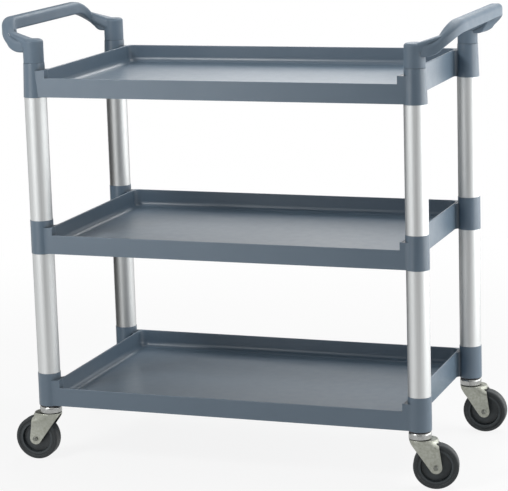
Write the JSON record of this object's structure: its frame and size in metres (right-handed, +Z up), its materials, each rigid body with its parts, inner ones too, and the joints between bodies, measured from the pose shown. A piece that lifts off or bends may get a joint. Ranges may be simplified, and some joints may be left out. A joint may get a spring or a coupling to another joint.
{
  "type": "kitchen cart",
  "caption": "Tiered service cart with moulded trays on round uprights, a push handle at each short end and swivel casters.",
  "frame": {"origin": "on the floor, under the centre of the cart", "axes": "+X along the length towards the right-hand handle, +Y towards the back with the high tray wall, +Z up"},
  "size_m": [1.06, 0.5086, 1.01],
  "materials": {
    "shelf_plastic": "blue-grey moulded plastic, fine satin texture",
    "handle_plastic": "blue-grey moulded plastic, fine satin texture",
    "upright_aluminium": "satin anodised, drawn along its length",
    "fork_zinc": "pressed steel, dull zinc plating",
    "race_zinc": "turned steel, bright zinc plating",
    "axle_steel": "zinc plated",
    "hidden_steel": "plain steel, lightly oiled",
    "socket_plastic": "black moulded plastic",
    "core_plastic": "dark grey moulded plastic",
    "tyre_rubber": "dark grey rubber, worn dull on the tread"
  },
  "bodies": {
    "frame": {"top_shelf": "shelf_plastic", "middle_shelf": "shelf_plastic", "bottom_shelf": "shelf_plastic", "left_handle": "handle_plastic", "right_handle": "handle_plastic", "handle_bolts": "hidden_steel", "lower_upright_front_left": "upright_aluminium", "lower_upright_front_right": "upright_aluminium", "lower_upright_back_left": "upright_aluminium", "lower_upright_back_right": "upright_aluminium", "upper_upright_front_left": "upright_aluminium", "upper_upright_front_right": "upright_aluminium", "upper_upright_back_left": "upright_aluminium", "upper_upright_back_right": "upright_aluminium", "caster_socket_front_left": "socket_plastic", "caster_stem_front_left": "hidden_steel", "upper_race_front_left": "race_zinc", "caster_socket_front_right": "socket_plastic", "caster_stem_front_right": "hidden_steel", "upper_race_front_right": "race_zinc", "caster_socket_back_left": "socket_plastic", "caster_stem_back_left": "hidden_steel", "upper_race_back_left": "race_zinc", "caster_socket_back_right": "socket_plastic", "caster_stem_back_right": "hidden_steel", "upper_race_back_right": "race_zinc"},
    "swivel_front_left": {"fork_front_left": "fork_zinc", "bearing_balls_front_left": "hidden_steel", "axle_bolt_front_left": "axle_steel", "axle_nut_front_left": "axle_steel", "axle_sleeve_front_left": "hidden_steel"},
    "wheel_front_left": {"wheel_core_front_left": "core_plastic", "tyre_front_left": "tyre_rubber"},
    "swivel_front_right": {"fork_front_right": "fork_zinc", "bearing_balls_front_right": "hidden_steel", "axle_bolt_front_right": "axle_steel", "axle_nut_front_right": "axle_steel", "axle_sleeve_front_right": "hidden_steel"},
    "wheel_front_right": {"wheel_core_front_right": "core_plastic", "tyre_front_right": "tyre_rubber"},
    "swivel_back_left": {"fork_back_left": "fork_zinc", "bearing_balls_back_left": "hidden_steel", "axle_bolt_back_left": "axle_steel", "axle_nut_back_left": "axle_steel", "axle_sleeve_back_left": "hidden_steel"},
    "wheel_back_left": {"wheel_core_back_left": "core_plastic", "tyre_back_left": "tyre_rubber"},
    "swivel_back_right": {"fork_back_right": "fork_zinc", "bearing_balls_back_right": "hidden_steel", "axle_bolt_back_right": "axle_steel", "axle_nut_back_right": "axle_steel", "axle_sleeve_back_right": "hidden_steel"},
    "wheel_back_right": {"wheel_core_back_right": "core_plastic", "tyre_back_right": "tyre_rubber"}
  },
  "joints": [
    {"name": "swivel_front_left", "type": "hinge", "parent": "frame", "child": "swivel_front_left", "pos_m": [-0.437, -0.226, 0.1105], "axis": [0, 0, 1], "continuous": true},
    {"name": "spin_front_left", "type": "hinge", "parent": "swivel_front_left", "child": "wheel_front_left", "pos_m": [-0.47095, -0.22778, 0.05], "axis": [0.0523, -0.9986, 0], "continuous": true},
    {"name": "swivel_front_right", "type": "hinge", "parent": "frame", "child": "swivel_front_right", "pos_m": [0.437, -0.226, 0.1105], "axis": [0, 0, 1], "continuous": true},
    {"name": "spin_front_right", "type": "hinge", "parent": "swivel_front_right", "child": "wheel_front_right", "pos_m": [0.47018, -0.21858, 0.05], "axis": [-0.2181, 0.9759, 0], "continuous": true},
    {"name": "swivel_back_left", "type": "hinge", "parent": "frame", "child": "swivel_back_left", "pos_m": [-0.437, 0.226, 0.1105], "axis": [0, 0, 1], "continuous": true},
    {"name": "spin_back_left", "type": "hinge", "parent": "swivel_back_left", "child": "wheel_back_left", "pos_m": [-0.47092, 0.22837, 0.05], "axis": [-0.0698, -0.9976, 0], "continuous": true},
    {"name": "swivel_back_right", "type": "hinge", "parent": "frame", "child": "swivel_back_right", "pos_m": [0.437, 0.226, 0.1105], "axis": [0, 0, 1], "continuous": true},
    {"name": "spin_back_right", "type": "hinge", "parent": "swivel_back_right", "child": "wheel_back_right", "pos_m": [0.47097, 0.22754, 0.05], "axis": [-0.0454, 0.999, 0], "continuous": true}
  ]
}
